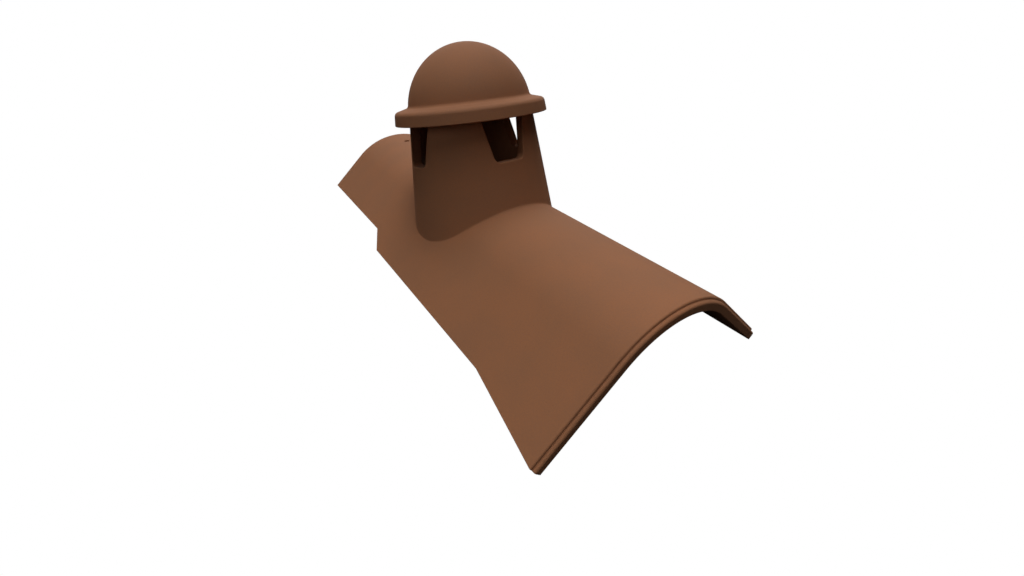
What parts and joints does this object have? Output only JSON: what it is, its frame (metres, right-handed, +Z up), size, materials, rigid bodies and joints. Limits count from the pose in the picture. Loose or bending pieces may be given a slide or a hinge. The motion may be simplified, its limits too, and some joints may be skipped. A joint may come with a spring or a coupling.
{
  "type": "chimney cowl on a ridge tile",
  "caption": "Fired-clay ridge tile with a leaning tapered vent shaft, windows open at its top, and a loose domed cap that keeps rain out.",
  "frame": {"origin": "on the standing surface, under the middle of the object's box", "axes": "+Y along the ridge from the wide front end to the narrow spigot, +Z up, the object's two sides mirror each other across the YZ plane"},
  "size_m": [0.2424, 0.5026, 0.2061],
  "materials": {
    "tile_clay": "matt brown fired clay, slightly mottled",
    "cap_clay": "matt brown fired clay, slightly mottled"
  },
  "bodies": {
    "root": {"ridge_tile_with_shaft": "tile_clay", "domed_cap": "cap_clay"}
  },
  "joints": []
}
